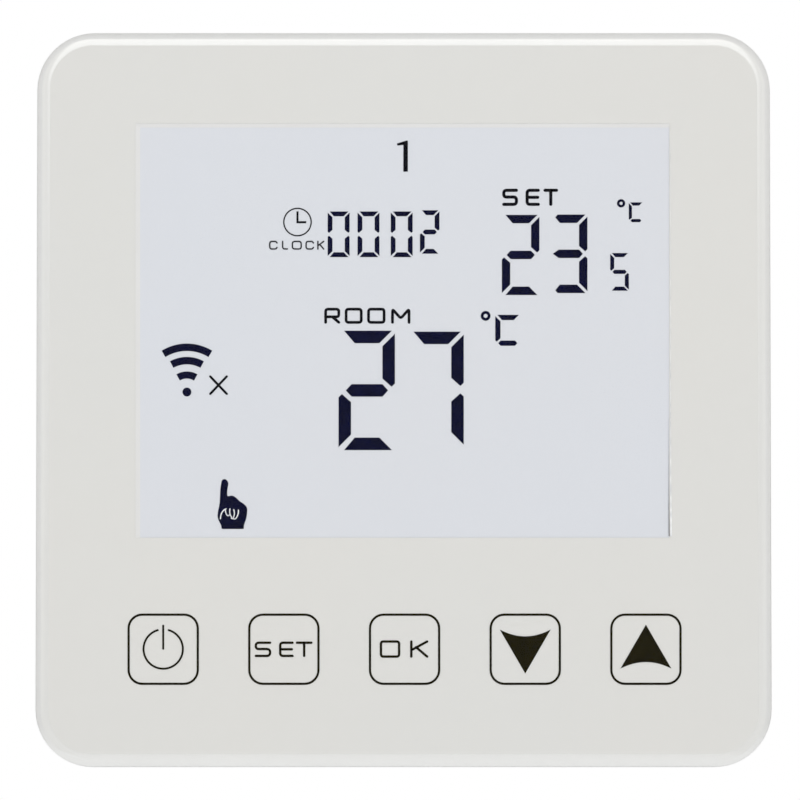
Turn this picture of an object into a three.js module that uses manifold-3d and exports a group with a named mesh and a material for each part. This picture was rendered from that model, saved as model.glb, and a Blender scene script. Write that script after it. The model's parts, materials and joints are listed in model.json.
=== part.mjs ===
// Wall thermostat with touch keys and a large segment display, for a square 86 mm wall plate.
// Millimetres, +Z up. The face looks along -Y, the wall plane is y = 0, and the origin is the
// centre of the mounting plate's rear face. The front unit hooks onto the base at its top edge
// and swings open from below; the power box stands in the wall behind the plate.

import * as THREE from "three";
import { mergeVertices } from "three/addons/utils/BufferGeometryUtils.js";
import Module from "manifold-3d";

const wasm = await Module();
wasm.setup();

// ---- Driving dimensions ----

const GAP = 0.05; // between pieces that lie on each other
const FINE = 6; // corner steps of the outlines that show
const COARSE = 3;

const PANEL = { size: 85.6, corner: 6.6, front: -14, back: -12, roundWidth: 1.6, roundDepth: 1.1 };
const SHELL = { size: 86, corner: 6.8, front: -11.8, back: -1, wall: 1.5 };
const INSIDE = SHELL.size / 2 - SHELL.wall; // half of the shell's clear inside
const ADHESIVE = { half: 41.8, corner: 5.5, clear: 0.03, margin: 1, ringRadius: 4.7 };
const VENT = { front: -9.4, back: -5.4, pitch: 2.8, halfWidth: 0.7 };
const VENT_ROWS = { top: { centres: [0], count: 8 }, bottom: { centres: [-25.5, 25.5], count: 6 } };

// The stack behind the clear window, from front to back.
const LCD = { halfWidth: 31.25, bottom: -16.6, top: 32.05, ledge: 2 };
const LAYER = {
  frontPolarizer: [-11.95, -11.75],
  frontGlass: [-11.7, -10.65],
  rearGlass: [-10.6, -9.55],
  rearPolarizer: [-9.5, -9.3],
  diffuser: [-9.25, -8.95],
  lightGuide: [-8.9, -7.1],
  reflector: [-7.05, -6.85],
};
const LCD_FRAME = { halfWidth: 33, bottom: -20.5, top: 33.8, wall: 1.7, front: -11.7 };
const LED = { z: 8, halfHeight: 1.4, front: -8.9, pocket: 0.15 };
const CONTACT_STRIP = { halfWidth: 28, height: 1.6, lift: 0.2 };

const BOARD = { halfWidth: 40, bottom: -38.6, top: 39.4, corner: 4.5, front: -6.4, back: -4.8 };
const ON_BOARD = BOARD.back + GAP;
const BOARD_SCREW = { x: 37, z: 36.5, headRadius: 2, headHeight: 1.1, shaft: 1, length: 4.6 };
const BOSS_RADIUS = 2.6;

const KEY = { count: 5, pitch: 14.1, z: -29, holeRadius: 4.3 };
const SPRING = { wire: 0.22, turns: 3.25, wideRadius: 3.6, narrowRadius: 2.7, steps: 29 };

// Areas on the display board: left and right, bottom and top.
const CHIP = { x: [-31, -21], z: [-12, -2], back: -3.4 };
const CHIP_MARK = { x: -29.6, z: -3.4, radius: 0.5, depth: 0.2 };
const MODULE = { x: [11, 31], z: [22, 37], back: -4 };
const MODULE_CAN = { x: [12, 25.5], z: [23, 36], back: -3.35 };
const BUZZER = { x: 9.4, z: 9, radius: 4, height: 2.8, hole: 1, chamfer: 0.4 };
const COIN_CELL = { x: -4.4, z: 6, radius: 8, height: 3.2, lift: 0.5 };
const CELL_HOLDER = { halfWidth: 5, tongue: 3, sheet: 0.8, strip: 0.4, margin: 0.2, lip: 2 };
const SENSOR = { x: -25.5, y: -4.4, z: -39.9, bead: 1, leg: 0.22, legGap: 0.5, legLength: 5, legZ: -36.8 };

const PLATE = { half: 41, corner: 4, front: -1 };
const FIXING_SLOT = { x: 30, length: 7, width: 4.5 }; // for the screws of a standard wall box

const TRAY = { half: 41.2, top: 40.8, corner: 4.8, front: -3, back: PLATE.front - GAP };
const TRAY_OPENING = { x: 14.5, z: 19, corner: 2 };
const TRAY_SCREW = { x: 18.3, headRadius: 2.1, headHeight: 1.1, shaft: 1.15, length: 8.5, seat: -1.8 };
const SLOT_WINDOW = { halfWidth: 5.6, halfHeight: 4.5, corner: 4.4 }; // shows the fixing slot's screw

const HOOK = { x: 22, halfWidth: 4, front: -3.2, back: -2.2, top: 42.3 };
const HOOK_POCKET = { halfWidth: 4.6, front: -3.6, back: -1.6, top: 42.6 };

const LATCH = { pivotX: 13.8, pivotZ: -38.6, barrel: 1.3, arm: 1.6, padHalf: 3.8, padBottom: -42.7 };
const LATCH_LAYER = [-2.9, -1.2];
const LATCH_CLEAR = { aside: 1, pad: 0.8, below: 1.3, above: 3, barrel: 0.25 };

const BOX = { x: 22.5, z: 23, corner: 8, wall: 1.6, back: 27 };
const BOX_FLANGE = { proud: 2.5, back: 1.4 };
const BOX_BOSS = { radius: 2.3, back: 9, holeBack: 8, halfWeb: 1, hole: 0.2, boardGap: 0.5 };
const BOX_RIB = { z: [13, 14.6], width: 1.2, sunk: 0.5 };
const BOX_VENT = { pitch: 3, halfWidth: 0.7, side: { count: 6, y: [11, 23] }, top: { count: 9, y: [6, 21] } };
const POWER_BOARD = { front: 2, back: 3.6 };
const ON_POWER_BOARD = POWER_BOARD.back + GAP;

// Areas on the power board, with the depth that each piece reaches back to.
const RELAY = { x: [-17.5, 1.5], z: [4.8, 20], back: 18.9 };
const RELAY_LID = { x: [-16.9, 0.9], z: [5.4, 19.4], back: 19.3 };
const TRANSFORMER = { x: [3.5, 17.5], z: [6.5, 18.5], foot: 6.4, top: [15, 16.6] };
const WINDING = { x: [5.2, 15.8], z: [5.5, 19.5], y: [6, 15.4] };
const ELECTROLYTIC = { x: -14, z: -6.6, radius: 4, height: 14.6 };
const FILM_CAPACITOR = { x: [-6.8, 6.2], z: [-8.6, -3.6], corner: 0.6, back: 14.6 };
const VARISTOR = { x: 12.6, y: 9.4, z: -6.2, radius: 4.3, thickness: 3, leg: 0.35, legX: 2.5 };
const FUSE = { x: [6.2, 14.8], z: [-0.6, 3.6], corner: 0.8, back: 11.4 };

const PIN = { count: 8, pitch: 2.54, z: -9, width: 0.64, slot: 1.2, tip: 0.8 };
const PIN_BAR = { back: -2.4, halfHeight: 1.3 };
const SOCKET = { front: -1.4, halfHeight: 1.6, aside: 0.6, slotDepth: 0.5 };

const TERMINAL = { count: 6, pitch: 6.4, z: -17.4, step: 13.1, rear: 26.6, halfWidth: 19.9, top: -12.5 };
const CELL = { halfWidth: 2.55, halfHeight: 3.2, front: 14, back: 22.5 };
const WIRE_PORT = { size: 3.6, front: 0.8 };
const DRIVER_HOLE = 2.15;
const CLAMP = { halfWidth: 2.25, halfHeight: 2.8, front: 0.3, back: 5.5, bore: 1.35 };
const CLAMP_MOUTH = { halfWidth: 1.5, wall: [0.9, 1.1] };
const TERMINAL_SCREW = { tip: 4, seat: 24.3, head: 25.9, shaft: 1.2, headRadius: 1.9 };
const SCREW_SLOT = { half: 0.3, depth: 0.8 };

// ---- Making solids ----

// A closed three.js geometry as a solid that can be joined and cut.
function solid(geometry) {
  geometry.deleteAttribute("normal");
  geometry.deleteAttribute("uv");
  const merged = mergeVertices(geometry, 1e-4);
  const corners = merged.index.array;
  const kept = [];
  for (let i = 0; i < corners.length; i += 3) {
    const [a, b, c] = [corners[i], corners[i + 1], corners[i + 2]];
    if (a !== b && b !== c && c !== a) kept.push(a, b, c);
  }
  return new wasm.Manifold(
    new wasm.Mesh({
      numProp: 3,
      vertProperties: merged.attributes.position.array,
      triVerts: new Uint32Array(kept),
    }),
  );
}

const join = (first, ...rest) => rest.reduce((sum, piece) => sum.add(piece), first);
const cut = (first, ...rest) => rest.reduce((left, piece) => left.subtract(piece), first);

// A box given by its two limits on each axis.
function block(x0, x1, y0, y1, z0, z1) {
  const box = new THREE.BoxGeometry(x1 - x0, y1 - y0, z1 - z0);
  return solid(box.translate((x0 + x1) / 2, (y0 + y1) / 2, (z0 + z1) / 2));
}

// A rectangle with round corners in the plane of the wall.
function roundedOutline(x0, x1, z0, z1, radius) {
  const shape = new THREE.Shape();
  const quarter = Math.PI / 2;
  shape.absarc(x1 - radius, z0 + radius, radius, -quarter, 0);
  shape.absarc(x1 - radius, z1 - radius, radius, 0, quarter);
  shape.absarc(x0 + radius, z1 - radius, radius, quarter, 2 * quarter);
  shape.absarc(x0 + radius, z0 + radius, radius, 2 * quarter, 3 * quarter);
  return shape;
}

// An outline in the plane of the wall, given depth from y0 back to y1.
function extrudeBack(shape, y0, y1, options = {}) {
  const settings = { depth: y1 - y0, bevelEnabled: false, curveSegments: COARSE, ...options };
  const geometry = new THREE.ExtrudeGeometry(shape, settings);
  return geometry.rotateX(Math.PI / 2).translate(0, y1, 0);
}

function slab(x0, x1, z0, z1, radius, y0, y1, curveSegments = COARSE) {
  return solid(extrudeBack(roundedOutline(x0, x1, z0, z1, radius), y0, y1, { curveSegments }));
}

// A box over an area of the wall's plane.
function over({ x, z }, y0, y1) {
  return block(x[0], x[1], y0, y1, z[0], z[1]);
}

// A round bar along Y at x, z.
function barY(x, z, radius, y0, y1, sides = 16) {
  const bar = new THREE.CylinderGeometry(radius, radius, y1 - y0, sides);
  return solid(bar.translate(x, (y0 + y1) / 2, z));
}

// A turned solid about the Y axis. The profile runs from the axis out and back to it, each
// point as radius and y, with y rising.
function turned(profile, sides = 18) {
  return solid(new THREE.LatheGeometry(profile.map(([r, y]) => new THREE.Vector2(r, y)), sides));
}

const inOrder = (a, b) => [Math.min(a, b), Math.max(a, b)];

// Both signs of an X offset, for pairs of left and right features.
const SIDES = [-1, 1];
const CORNERS = SIDES.flatMap((sx) => SIDES.map((sz) => [sx, sz]));

// Evenly spaced positions, centred on zero.
function spread(count, pitch) {
  return Array.from({ length: count }, (_, i) => (i - (count - 1) / 2) * pitch);
}

// ---- Finishes ----

const finish = (color, roughness, metalness = 0) => ({ color, roughness, metalness });
const WHITE_GLASS = finish(0xdededb, 0.12);
const WHITE_PLASTIC = finish(0xd6d6d2, 0.4);
const STEEL = finish(0xb4b7b8, 0.35, 0.9);
const BRASS = finish(0xb99a55, 0.35, 0.9);
const BLACK_PLASTIC = finish(0x1c1d20, 0.5);
const GREEN_BOARD = finish(0x2a6b45, 0.45);

const thermostat = new THREE.Group();
const base = new THREE.Group();
const frontUnit = new THREE.Group();
thermostat.add(base, frontUnit);

const HEAD_IN_FRONT = Math.PI; // turns a screw about X, from head behind to head in front

// Adds one solid to a group as a named mesh.
function addPart(group, name, piece, look, position = [0, 0, 0], turn = 0) {
  const { vertProperties, triVerts } = piece.getMesh();
  const shared = new THREE.BufferGeometry();
  shared.setAttribute("position", new THREE.BufferAttribute(vertProperties, 3));
  shared.setIndex(new THREE.BufferAttribute(triVerts, 1));
  const faceted = shared.toNonIndexed();
  faceted.computeVertexNormals();
  const mesh = new THREE.Mesh(faceted, new THREE.MeshStandardMaterial(look));
  mesh.name = name;
  mesh.position.set(...position);
  mesh.rotation.x = turn;
  group.add(mesh);
}

// ---- Front unit: panel and shell ----

// The glass panel, with a softly rounded front edge and a plain back edge.
function frontPanel() {
  const inner = PANEL.size / 2 - PANEL.roundWidth;
  const outline = roundedOutline(-inner, inner, -inner, inner, PANEL.corner - PANEL.roundWidth);
  const pillow = extrudeBack(outline, PANEL.front + PANEL.roundDepth, PANEL.back + 1, {
    bevelEnabled: true,
    bevelThickness: PANEL.roundDepth,
    bevelSize: PANEL.roundWidth,
    bevelSegments: 4,
    curveSegments: FINE,
  });
  const half = PANEL.size;
  return cut(solid(pillow), block(-half, half, PANEL.back, SHELL.back, -half, half));
}

// The opening that the display passes through, with a margin around its frame.
function displayOpening(margin, y0, y1) {
  const halfWidth = LCD_FRAME.halfWidth + margin;
  return block(-halfWidth, halfWidth, y0, y1, LCD_FRAME.bottom - margin, LCD_FRAME.top + margin);
}

function panelAdhesive() {
  const { half, corner, clear, margin, ringRadius } = ADHESIVE;
  const [y0, y1] = [PANEL.back + clear, SHELL.front - clear];
  const sheet = slab(-half, half, -half, half, corner, y0, y1);
  const springHoles = spread(KEY.count, KEY.pitch).map((x) => {
    return barY(x, KEY.z, ringRadius, y0 - 1, y1 + 1);
  });
  return cut(sheet, displayOpening(margin, y0 - 1, y1 + 1), ...springHoles);
}

// Air slots through the top and bottom walls of the shell.
function shellVents() {
  const { front, back, pitch, halfWidth } = VENT;
  const rows = [
    { ...VENT_ROWS.top, z0: INSIDE - 1, z1: SHELL.size / 2 + 1 },
    { ...VENT_ROWS.bottom, z0: -SHELL.size / 2 - 1, z1: 1 - INSIDE },
  ];
  return rows.flatMap(({ centres, count, z0, z1 }) => {
    const places = centres.flatMap((centre) => spread(count, pitch).map((x) => centre + x));
    return places.map((x) => block(x - halfWidth, x + halfWidth, front, back, z0, z1));
  });
}

function frontShell() {
  const half = SHELL.size / 2;
  const wallBack = SHELL.front + SHELL.wall;
  const outside = slab(-half, half, -half, half, SHELL.corner, SHELL.front, SHELL.back, FINE);
  const cavityCorner = SHELL.corner - SHELL.wall;
  const cavity = slab(-INSIDE, INSIDE, -INSIDE, INSIDE, cavityCorner, wallBack, SHELL.back + 1, FINE);
  const springHoles = spread(KEY.count, KEY.pitch).map((x) => {
    return barY(x, KEY.z, KEY.holeRadius, SHELL.front - 1, wallBack + 1);
  });
  const hookPockets = SIDES.map((side) => {
    const x = side * HOOK.x;
    const reach = HOOK_POCKET.halfWidth;
    const { front, back, top } = HOOK_POCKET;
    return block(x - reach, x + reach, front, back, INSIDE - 1, top);
  });
  const notchHalf = LATCH.padHalf + LATCH_CLEAR.pad;
  const latchNotch = block(-notchHalf, notchHalf, HOOK_POCKET.front, 0, -half - 1, 1 - INSIDE);
  const bosses = CORNERS.map(([sx, sz]) => {
    return barY(sx * BOARD_SCREW.x, sz * BOARD_SCREW.z, BOSS_RADIUS, wallBack - 0.5, BOARD.front - GAP);
  });
  const screwHoles = CORNERS.map(([sx, sz]) => {
    const [x, z] = [sx * BOARD_SCREW.x, sz * BOARD_SCREW.z];
    return barY(x, z, BOARD_SCREW.shaft + 0.2, wallBack + 0.4, 0, 12);
  });
  const hollow = cut(outside, cavity, displayOpening(0.3, SHELL.front - 1, wallBack + 1));
  const pierced = cut(hollow, ...springHoles, ...hookPockets, latchNotch, ...shellVents());
  return cut(join(pierced, ...bosses), ...screwHoles);
}

addPart(frontUnit, "front_panel", frontPanel(), WHITE_GLASS);
addPart(frontUnit, "panel_adhesive", panelAdhesive(), finish(0x9a9a96, 0.8));
addPart(frontUnit, "front_shell", frontShell(), WHITE_PLASTIC);

// ---- Front unit: display ----

function displayLayer([y0, y1], inset = 0, bottom = LCD.bottom) {
  const halfWidth = LCD.halfWidth - inset;
  return block(-halfWidth, halfWidth, y0, y1, bottom + inset, LCD.top - inset);
}

// The white surround that holds the display stack on the board, with a pocket for each lamp.
function lcdFrame() {
  const { halfWidth, bottom, top, wall, front } = LCD_FRAME;
  const back = BOARD.front - GAP;
  const outside = block(-halfWidth, halfWidth, front, back, bottom, top);
  const [x, z0, z1] = [halfWidth - wall, bottom + wall, top - wall];
  const inside = block(-x, x, front - 1, back + 1, z0, z1);
  const pockets = SIDES.map((side) => {
    const reach = LED.halfHeight + LED.pocket;
    const [x0, x1] = inOrder(side * (x - 1), side * (halfWidth + 1));
    return block(x0, x1, LED.front - LED.pocket, back + 1, LED.z - reach, LED.z + reach);
  });
  return cut(outside, inside, ...pockets);
}

const ledgeBottom = LCD.bottom - LCD.ledge;
const glass = finish(0xdfe6e4, 0.08);
addPart(frontUnit, "lcd_front_polarizer", displayLayer(LAYER.frontPolarizer, 0.05), finish(0xd9dce1, 0.35));
addPart(frontUnit, "lcd_front_glass", displayLayer(LAYER.frontGlass, 0, ledgeBottom), glass);
addPart(frontUnit, "lcd_rear_glass", displayLayer(LAYER.rearGlass), glass);
addPart(frontUnit, "lcd_rear_polarizer", displayLayer(LAYER.rearPolarizer, 0.3), finish(0xc9ccd2, 0.4));
addPart(frontUnit, "diffuser_film", displayLayer(LAYER.diffuser, 0.2), finish(0xf2f2ef, 0.7));
addPart(frontUnit, "light_guide", displayLayer(LAYER.lightGuide, 0.1), finish(0xeef3f2, 0.15));
addPart(frontUnit, "reflector_film", displayLayer(LAYER.reflector, 0.2), finish(0xf7f7f5, 0.3));
addPart(frontUnit, "lcd_frame", lcdFrame(), finish(0xeeeeea, 0.5));

// The elastic contact strip between the glass ledge and the board.
function contactStrip() {
  const { halfWidth, height, lift } = CONTACT_STRIP;
  const low = ledgeBottom + lift;
  return block(-halfWidth, halfWidth, LAYER.frontGlass[1] + GAP, BOARD.front - GAP, low, low + height);
}
addPart(frontUnit, "contact_strip", contactStrip(), finish(0x3c3d42, 0.7));

SIDES.forEach((side, i) => {
  const [near, far] = [LCD_FRAME.halfWidth - LCD_FRAME.wall + 0.05, LCD_FRAME.halfWidth - 0.1];
  const [x0, x1] = side < 0 ? [-far, -near] : [near, far];
  const { z, halfHeight, front } = LED;
  const lamp = block(x0, x1, front, BOARD.front - GAP, z - halfHeight, z + halfHeight);
  addPart(frontUnit, `backlight_led_${i + 1}`, lamp, finish(0xf0e6a8, 0.3));
});

// ---- Front unit: board and what it carries ----

function displayBoard() {
  const { halfWidth, bottom, top, corner, front, back } = BOARD;
  const sheet = slab(-halfWidth, halfWidth, bottom, top, corner, front, back);
  const holes = CORNERS.map(([sx, sz]) => {
    return barY(sx * BOARD_SCREW.x, sz * BOARD_SCREW.z, BOARD_SCREW.shaft + 0.3, front - 1, back + 1);
  });
  return cut(sheet, ...holes);
}

// The wire of a touch spring: wide at the panel, narrower at the board, closed at both ends.
class SpringWire extends THREE.Curve {
  constructor(height, turns, wideRadius, narrowRadius) {
    super();
    Object.assign(this, { height, turns, wideRadius, narrowRadius });
  }

  getPoint(t, target = new THREE.Vector3()) {
    const angle = 2 * Math.PI * this.turns * t;
    const rise = THREE.MathUtils.smoothstep(t, 0.12, 0.88);
    const radius = THREE.MathUtils.lerp(this.wideRadius, this.narrowRadius, t);
    return target.set(radius * Math.cos(angle), this.height * rise, radius * Math.sin(angle));
  }
}

function touchSpring() {
  const { wire, turns, wideRadius, narrowRadius, steps } = SPRING;
  const height = BOARD.front - PANEL.back - 2 * wire - 2 * GAP;
  const section = new THREE.Shape().absarc(0, 0, wire, 0, 2 * Math.PI);
  const path = new SpringWire(height, turns, wideRadius, narrowRadius);
  const settings = { steps, curveSegments: COARSE, extrudePath: path, bevelEnabled: false };
  const coil = new THREE.ExtrudeGeometry(section, settings);
  return solid(coil.translate(0, PANEL.back + wire + GAP, 0));
}

// A cross-recessed pan-head screw with its seat at y = 0, its head behind and its shaft in front.
function panScrew({ headRadius, headHeight, shaft, length }) {
  const profile = [
    [0, -length],
    [shaft * 0.7, -length],
    [shaft, 0.4 - length],
    [shaft, 0],
    [headRadius, 0],
    [headRadius, headHeight * 0.55],
    [headRadius * 0.72, headHeight],
    [0, headHeight],
  ];
  const arm = headRadius * 0.55;
  const recess = headHeight * 0.45;
  const slots = [
    block(-arm, arm, recess, headHeight + 1, -0.22, 0.22),
    block(-0.22, 0.22, recess, headHeight + 1, -arm, arm),
  ];
  return cut(turned(profile), ...slots);
}

addPart(frontUnit, "display_board", displayBoard(), GREEN_BOARD);

const spring = touchSpring();
spread(KEY.count, KEY.pitch).forEach((x, i) => {
  addPart(frontUnit, `touch_spring_${i + 1}`, spring, STEEL, [x, 0, KEY.z]);
});

const boardScrew = panScrew(BOARD_SCREW);
CORNERS.forEach(([sx, sz], i) => {
  const seat = [sx * BOARD_SCREW.x, ON_BOARD, sz * BOARD_SCREW.z];
  addPart(frontUnit, `board_screw_${i + 1}`, boardScrew, STEEL, seat);
});

const chipMark = barY(CHIP_MARK.x, CHIP_MARK.z, CHIP_MARK.radius, CHIP.back - CHIP_MARK.depth, 0);
const chip = cut(over(CHIP, ON_BOARD, CHIP.back), chipMark);
addPart(frontUnit, "controller_chip", chip, BLACK_PLASTIC);

const wirelessModule = join(
  over(MODULE, ON_BOARD, MODULE.back),
  over(MODULE_CAN, ON_BOARD, MODULE_CAN.back),
);
addPart(frontUnit, "wireless_module", wirelessModule, finish(0xb9bcbf, 0.35, 0.6));

// A round sounder with a hole in the middle of its rear face.
function buzzer() {
  const { radius, height, hole, chamfer } = BUZZER;
  return turned([
    [0, 0],
    [radius, 0],
    [radius, height - chamfer],
    [radius - chamfer, height],
    [hole, height],
    [hole, height - hole],
    [0, height - hole],
  ]);
}
addPart(frontUnit, "buzzer", buzzer(), BLACK_PLASTIC, [BUZZER.x, ON_BOARD, BUZZER.z]);

// The clock's back-up cell and its holder.
const cellFront = ON_BOARD + COIN_CELL.lift;

function coinCell() {
  const { radius, height } = COIN_CELL;
  const step = 0.5;
  return turned([
    [0, 0],
    [radius - 1.6, 0],
    [radius - 1.2, step],
    [radius - 0.4, step],
    [radius, step + 0.4],
    [radius, height - 0.3],
    [radius - 0.3, height],
    [0, height],
  ], 28);
}
addPart(frontUnit, "coin_cell", coinCell(), STEEL, [COIN_CELL.x, cellFront, COIN_CELL.z]);

function coinCellHolder() {
  const { x, z, radius, height } = COIN_CELL;
  const { halfWidth, tongue, sheet, strip, margin, lip } = CELL_HOLDER;
  const [low, high] = [z - radius - margin, z + radius + margin];
  const top = cellFront + height + GAP;
  return join(
    block(x - halfWidth, x + halfWidth, ON_BOARD, cellFront - GAP, low - sheet, high + sheet),
    block(x - halfWidth, x + halfWidth, ON_BOARD, cellFront + lip, low - sheet, low),
    block(x - tongue, x + tongue, ON_BOARD, top + strip, high, high + sheet),
    block(x - tongue, x + tongue, top, top + strip, z + tongue, high + sheet),
  );
}
addPart(frontUnit, "coin_cell_holder", coinCellHolder(), STEEL);

// The bead that feels the room's air hangs below the board, above the bottom air slots.
function roomSensor() {
  const { x, y, z, leg, legGap, legLength, legZ } = SENSOR;
  const bead = solid(new THREE.SphereGeometry(SENSOR.bead, 14, 10).translate(x, y, z));
  const legs = SIDES.map((side) => {
    const wire = new THREE.CylinderGeometry(leg, leg, legLength, 8);
    return solid(wire.rotateX(Math.PI / 2).translate(x + side * legGap, y - GAP, legZ));
  });
  return join(bead, ...legs);
}
addPart(frontUnit, "room_sensor", roomSensor(), BLACK_PLASTIC);

// The plug-in link between the two boards: pins on the front unit, their socket on the base.
function headerPins() {
  const end = (PIN.count * PIN.pitch) / 2;
  const { back, halfHeight } = PIN_BAR;
  const bar = block(-end, end, ON_BOARD, back, PIN.z - halfHeight, PIN.z + halfHeight);
  const half = PIN.width / 2;
  const pins = spread(PIN.count, PIN.pitch).map((x) => {
    return block(x - half, x + half, back - 0.2, PIN.tip, PIN.z - half, PIN.z + half);
  });
  return join(bar, ...pins);
}

function headerSocket() {
  const { front, halfHeight, aside, slotDepth } = SOCKET;
  const end = (PIN.count * PIN.pitch) / 2 + aside;
  const body = block(-end, end, front, POWER_BOARD.front - GAP, PIN.z - halfHeight, PIN.z + halfHeight);
  const half = PIN.slot / 2;
  const slots = spread(PIN.count, PIN.pitch).map((x) => {
    return block(x - half, x + half, front - 1, PIN.tip + slotDepth, PIN.z - half, PIN.z + half);
  });
  return cut(body, ...slots);
}

addPart(frontUnit, "header_pins", headerPins(), BRASS);
addPart(base, "header_socket", headerSocket(), BLACK_PLASTIC);

// ---- Base: plate, tray and latch ----

function mountingPlate() {
  const { half, corner, front } = PLATE;
  const sheet = slab(-half, half, -half, half, corner, front, 0);
  const [x, z] = [BOX.x + 0.5, BOX.z + 0.5];
  const opening = slab(-x, x, -z, z, BOX.corner + 0.5, front - 1, 1);
  const slots = SIDES.map((side) => {
    const centre = side * FIXING_SLOT.x;
    const [reach, radius] = [FIXING_SLOT.length / 2, FIXING_SLOT.width / 2];
    return slab(centre - reach, centre + reach, -radius, radius, radius - 0.01, front - 1, 1);
  });
  return cut(sheet, opening, ...slots);
}

function baseTray() {
  const { half, top, corner, front, back } = TRAY;
  const sheet = slab(-half, half, -half, top, corner, front, back, FINE);
  const hooks = SIDES.map((side) => {
    const x = side * HOOK.x;
    return block(x - HOOK.halfWidth, x + HOOK.halfWidth, HOOK.front, HOOK.back, top - 2, HOOK.top);
  });
  const [through0, through1] = [front - 1, back + 1];
  const { x: openX, z: openZ, corner: openCorner } = TRAY_OPENING;
  const opening = slab(-openX, openX, -openZ, openZ, openCorner, through0, through1);
  const slotWindows = SIDES.map((side) => {
    const { halfWidth, halfHeight } = SLOT_WINDOW;
    const [x0, x1] = [side * FIXING_SLOT.x - halfWidth, side * FIXING_SLOT.x + halfWidth];
    return slab(x0, x1, -halfHeight, halfHeight, SLOT_WINDOW.corner, through0, through1, FINE);
  });
  const screwHoles = SIDES.flatMap((side) => {
    const x = side * TRAY_SCREW.x;
    return [
      barY(x, 0, TRAY_SCREW.shaft + 0.25, through0, through1, 16),
      barY(x, 0, TRAY_SCREW.headRadius + 0.2, through0, TRAY_SCREW.seat),
    ];
  });
  const { pivotX, pivotZ, barrel, padHalf } = LATCH;
  const { aside, pad, below, above } = LATCH_CLEAR;
  const latchSpace = [
    block(-padHalf - aside, pivotX - 1, through0, through1, pivotZ - below, pivotZ + above),
    block(-padHalf - pad, padHalf + pad, through0, through1, -half - 1, pivotZ),
    barY(pivotX, pivotZ, barrel + LATCH_CLEAR.barrel, through0, through1),
  ];
  return cut(join(sheet, ...hooks), opening, ...slotWindows, ...screwHoles, ...latchSpace);
}

// A springy arm that turns in the tray about its barrel, with the pad that a finger pushes up.
function releaseLatch() {
  const [y0, y1] = LATCH_LAYER;
  const { pivotX, pivotZ, barrel, arm, padHalf, padBottom } = LATCH;
  return join(
    barY(pivotX, pivotZ, barrel, y0, y1),
    block(-padHalf, pivotX, y0, y1, pivotZ - arm / 2, pivotZ + arm / 2),
    block(-padHalf, padHalf, y0, y1, padBottom, pivotZ + arm / 2),
  );
}

addPart(base, "mounting_plate", mountingPlate(), STEEL);
addPart(base, "base_tray", baseTray(), WHITE_PLASTIC);
addPart(base, "release_latch", releaseLatch(), WHITE_PLASTIC);

// ---- Base: power box ----

function boxVents() {
  const { x, z, wall } = BOX;
  const { pitch, halfWidth, side, top } = BOX_VENT;
  const sideSlots = SIDES.flatMap((sign) => {
    const [x0, x1] = [sign * x - 2 * wall, sign * x + 2 * wall];
    return spread(side.count, pitch).map((centre) => {
      return block(x0, x1, ...side.y, centre - halfWidth, centre + halfWidth);
    });
  });
  const topSlots = spread(top.count, pitch).map((centre) => {
    return block(centre - halfWidth, centre + halfWidth, ...top.y, z - 2 * wall, z + 2 * wall);
  });
  return [...sideSlots, ...topSlots];
}

function powerBox() {
  const { x, z, corner, wall, back } = BOX;
  const flange = BOX_FLANGE.proud;
  const outside = join(
    slab(-x, x, -z, z, corner, PLATE.front, back, FINE),
    slab(-x - flange, x + flange, -z - flange, z + flange, corner + flange, GAP, BOX_FLANGE.back, FINE),
  );
  const [cx, cz] = [x - wall, z - wall];
  const cavity = slab(-cx, cx, -cz, cz, corner - wall, PLATE.front - 1, back - wall, FINE);
  const ribs = CORNERS.map(([sx, sz]) => {
    const [x0, x1] = inOrder(sx * (cx - BOX_RIB.width), sx * (cx + BOX_RIB.sunk));
    const [z0, z1] = inOrder(...BOX_RIB.z.map((height) => sz * height));
    return block(x0, x1, ON_POWER_BOARD, back - 1, z0, z1);
  });
  const bosses = SIDES.flatMap((side) => {
    const [x0, x1] = inOrder(side * TRAY_SCREW.x, side * (x - BOX_RIB.sunk));
    return [
      barY(side * TRAY_SCREW.x, 0, BOX_BOSS.radius, PLATE.front, BOX_BOSS.back),
      block(x0, x1, PLATE.front, BOX_BOSS.back, -BOX_BOSS.halfWeb, BOX_BOSS.halfWeb),
    ];
  });
  const screwHoles = SIDES.map((side) => {
    return barY(side * TRAY_SCREW.x, 0, TRAY_SCREW.shaft + BOX_BOSS.hole, PLATE.front - 1, BOX_BOSS.holeBack);
  });
  const cutHalf = TERMINAL.halfWidth + 0.4;
  const cutTop = TERMINAL.top + 0.3;
  const terminalCut = block(-cutHalf, cutHalf, TERMINAL.step - 0.1, back + 1, -z - 1, cutTop);
  const hollow = cut(outside, cavity, ...boxVents());
  return cut(join(hollow, ...ribs, ...bosses), ...screwHoles, terminalCut);
}

function powerBoard() {
  const clear = BOX.wall + 0.4;
  const [x, z] = [BOX.x - clear, BOX.z - clear];
  const { front, back } = POWER_BOARD;
  const sheet = slab(-x, x, -z, z, BOX.corner - clear, front, back);
  const reach = BOX_BOSS.radius + BOX_BOSS.boardGap;
  const bossSpaces = SIDES.flatMap((side) => {
    const [x0, x1] = inOrder(side * TRAY_SCREW.x, side * (x + 1));
    return [
      barY(side * TRAY_SCREW.x, 0, reach, front - 1, back + 1),
      block(x0, x1, front - 1, back + 1, -reach, reach),
    ];
  });
  return cut(sheet, ...bossSpaces);
}

addPart(base, "power_box", powerBox(), WHITE_PLASTIC);
addPart(base, "power_board", powerBoard(), GREEN_BOARD);

const trayScrew = panScrew(TRAY_SCREW);
SIDES.forEach((side, i) => {
  const seat = [side * TRAY_SCREW.x, TRAY_SCREW.seat - GAP, 0];
  addPart(base, `tray_screw_${i + 1}`, trayScrew, STEEL, seat, HEAD_IN_FRONT);
});

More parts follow.
